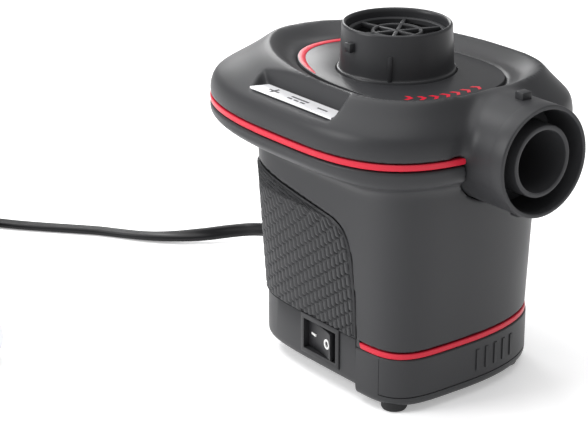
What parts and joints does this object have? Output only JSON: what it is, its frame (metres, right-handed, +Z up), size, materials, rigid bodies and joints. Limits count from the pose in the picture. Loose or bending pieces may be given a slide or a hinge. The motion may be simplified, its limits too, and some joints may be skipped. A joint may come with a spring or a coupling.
{
  "type": "air mattress pump",
  "caption": "Handheld electric pump with a broad oval head, an inlet port on top, a round outlet on the side, a grip with rocker switch and a coiled power lead.",
  "frame": {"origin": "on the floor under the middle of the head, which is the top port's axis", "axes": "+X out of the outlet nozzle, -Y the side with the rocker switch and finger pocket, +Z up the top port's axis"},
  "size_m": [0.3036, 0.1889, 0.122],
  "materials": {
    "charcoal_plastic": "satin moulded, finely grained",
    "dark_plastic": "smooth satin",
    "red_plastic": "semi-gloss",
    "black_plastic": "satin",
    "lead_vinyl": "soft satin vinyl",
    "black_rubber": "matt",
    "steel": "plated, lightly brushed",
    "silver_label": "printed satin foil",
    "brass": "bare",
    "white_nylon": "satin moulded",
    "ferrite": "sintered, matt",
    "winding_copper": "enamelled copper on a steel core",
    "capacitor_film": "glossy dip coat",
    "red_wire": "satin vinyl",
    "black_wire": "satin vinyl"
  },
  "bodies": {
    "housing": {"accent_crescent": "red_plastic", "badge_panel": "charcoal_plastic", "base_screw_1": "steel", "base_screw_2": "steel", "base_screw_3": "steel", "base_screw_4": "steel", "base_tray": "charcoal_plastic", "body_shell": "charcoal_plastic", "coil_tie": "black_rubber", "fan_bowl": "dark_plastic", "foot_1": "black_rubber", "foot_2": "black_rubber", "foot_3": "black_rubber", "foot_4": "black_rubber", "grip_pad": "charcoal_plastic", "head_cover": "charcoal_plastic", "head_screw_1": "steel", "head_screw_2": "steel", "head_screw_3": "steel", "head_screw_4": "steel", "inlet_guard": "dark_plastic", "inlet_port": "dark_plastic", "inlet_seal": "black_rubber", "lead_coil": "lead_vinyl", "lead_tail": "lead_vinyl", "lead_wire_1": "red_wire", "lead_wire_2": "black_wire", "lower_trim": "red_plastic", "motor_can": "steel", "motor_end_cap": "white_nylon", "motor_magnet_1": "ferrite", "motor_magnet_2": "ferrite", "motor_screw_1": "steel", "motor_screw_2": "steel", "outlet_collar": "charcoal_plastic", "outlet_nozzle": "charcoal_plastic", "plug_body": "black_plastic", "plug_cap": "steel", "power_lead": "lead_vinyl", "rating_plate": "silver_label", "rear_cover": "charcoal_plastic", "strain_relief": "black_rubber", "suppressor": "capacitor_film", "switch_frame": "black_plastic", "switch_terminal_1": "brass", "switch_terminal_2": "brass", "top_plate": "dark_plastic", "upper_trim": "red_plastic"},
    "rotor": {"motor_shaft": "steel", "motor_armature": "winding_copper", "motor_commutator": "winding_copper", "impeller": "white_nylon", "impeller_clip": "steel"},
    "rocker": {"switch_rocker": "black_plastic"},
    "tip": {"plug_tip": "steel"},
    "contact_left": {"plug_contact_1": "steel"},
    "contact_right": {"plug_contact_2": "steel"}
  },
  "joints": [
    {"name": "fan_spin", "type": "hinge", "parent": "housing", "child": "rotor", "pos_m": [0, 0, 0.08], "axis": [0, 0, 1], "continuous": true},
    {"name": "rocker_tilt", "type": "hinge", "parent": "housing", "child": "rocker", "pos_m": [0.0057, -0.0329, 0.0153], "axis": [0, 0, 1], "range_deg": [0, 21]},
    {"name": "tip_press", "type": "slide", "parent": "housing", "child": "tip", "axis": [-1, 0, 0], "range_m": [0, 0.003], "stiffness_N_per_m": 900, "springref_m": -0.002},
    {"name": "contact_left_press", "type": "slide", "parent": "housing", "child": "contact_left", "axis": [0, 1, 0], "range_m": [0, 0.0012], "stiffness_N_per_m": 1500, "springref_m": -0.001},
    {"name": "contact_right_press", "type": "slide", "parent": "housing", "child": "contact_right", "axis": [0, -1, 0], "range_m": [0, 0.0012], "stiffness_N_per_m": 1500, "springref_m": -0.001}
  ]
}
